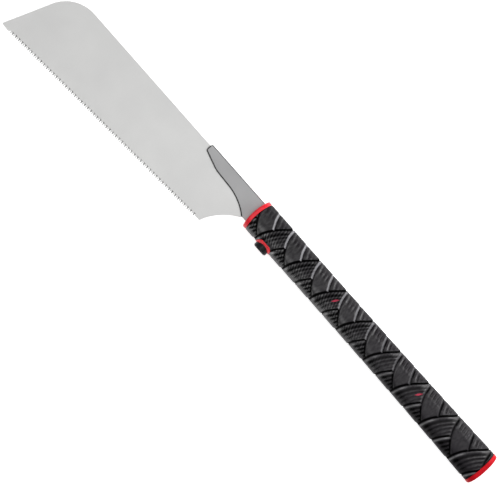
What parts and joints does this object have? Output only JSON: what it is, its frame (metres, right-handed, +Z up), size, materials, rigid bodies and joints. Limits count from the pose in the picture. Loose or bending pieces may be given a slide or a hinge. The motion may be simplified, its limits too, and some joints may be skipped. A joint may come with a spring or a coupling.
{
  "type": "pull saw",
  "caption": "Long-handled pull saw with a thin toothed blade held in a folded steel holder and clamped by a knob at the front of a rubber-wrapped grip.",
  "frame": {"origin": "bottom centre of the saw's box as it lies on its side: the flat side of the handle is at z = 0", "axes": "+X from the blade's tip towards the butt of the handle, +Y towards the back of the blade with the teeth at -Y, +Z up through the saw's thickness"},
  "size_m": [0.6668, 0.0867, 0.024],
  "materials": {
    "blade_steel": "satin ground spring steel",
    "holder_steel": "brushed stainless steel",
    "red_plastic": "semi-gloss moulded",
    "grip_rubber": "matt with a fine sheen",
    "knob_plastic": "gloss moulded",
    "hardware_steel": "zinc plated"
  },
  "bodies": {
    "handle": {"blade_holder": "holder_steel", "stop_pin": "hardware_steel", "holder_pins": "hardware_steel", "front_collar": "red_plastic", "core_shell_upper": "red_plastic", "core_shell_lower": "red_plastic", "grip_sleeve": "grip_rubber", "butt_cap": "red_plastic", "knob_bezel": "red_plastic", "clamp_nut": "hardware_steel"},
    "blade": {"saw_blade": "blade_steel"},
    "shoe": {"clamp_shoe": "hardware_steel"},
    "knob": {"clamp_knob": "knob_plastic", "clamp_screw": "hardware_steel"}
  },
  "joints": [
    {"name": "blade_release", "type": "slide", "parent": "handle", "child": "blade", "axis": [-1, 0, 0], "range_m": [0, 0.15]},
    {"name": "shoe_travel", "type": "slide", "parent": "handle", "child": "shoe", "axis": [0, -1, 0], "range_m": [0, 0.003]},
    {"name": "knob_turn", "type": "hinge", "parent": "shoe", "child": "knob", "pos_m": [0.01291, 0.01022, 0.012], "axis": [0, -1, 0], "range_deg": [0, 1080]}
  ],
  "couplings": [
    {"joint": "knob_turn", "follows": "shoe_travel", "rad_per_m": 6283.2}
  ]
}
